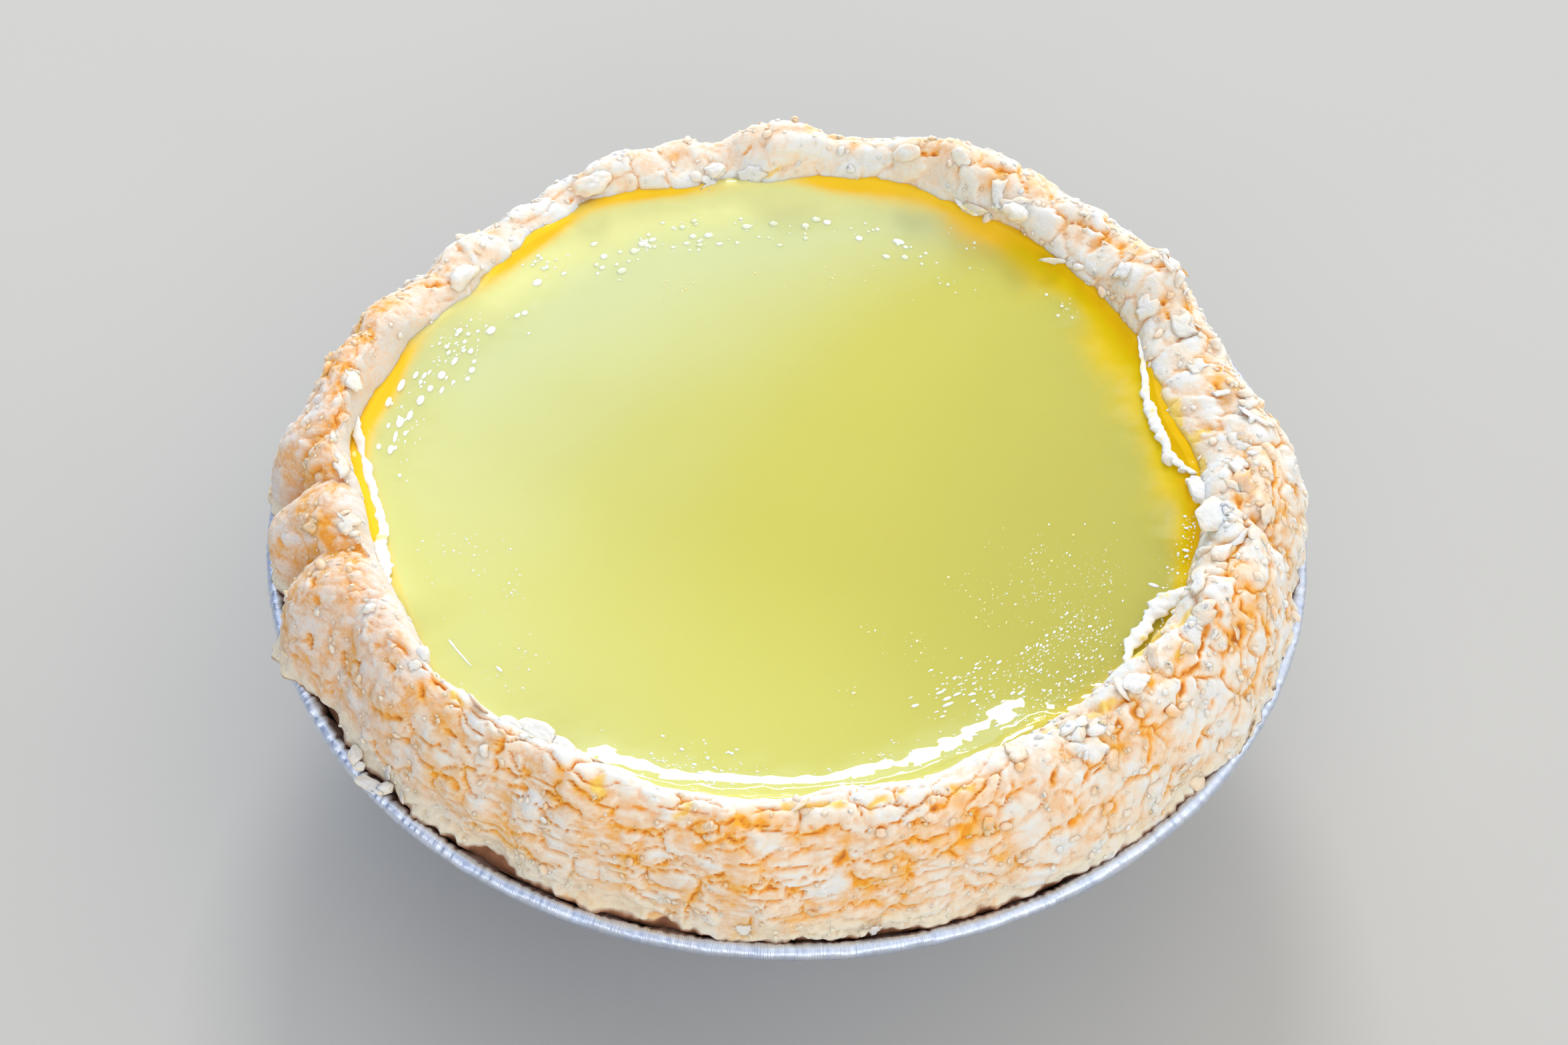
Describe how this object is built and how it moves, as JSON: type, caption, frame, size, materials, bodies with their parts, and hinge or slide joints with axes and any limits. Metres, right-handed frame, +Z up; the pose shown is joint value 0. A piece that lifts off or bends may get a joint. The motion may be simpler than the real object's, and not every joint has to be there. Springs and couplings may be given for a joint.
{
  "type": "egg tart",
  "caption": "Round egg tart with a glossy custard filling in a thick, hand-pinched shortcrust shell, baked in a shallow fluted foil cup.",
  "frame": {"origin": "centre of the flat foil base, on the surface that the tart stands on", "axes": "+Z up through the middle of the custard, +Y away from the viewer, +X to the viewer's right"},
  "size_m": [0.075, 0.075, 0.0288],
  "materials": {
    "foil": "thin bright aluminium foil with fine crimps and wrinkles",
    "crust": null,
    "custard": null
  },
  "bodies": {
    "root": {"foil_cup": "foil", "pastry_shell": "crust", "egg_custard": "custard"}
  },
  "joints": []
}
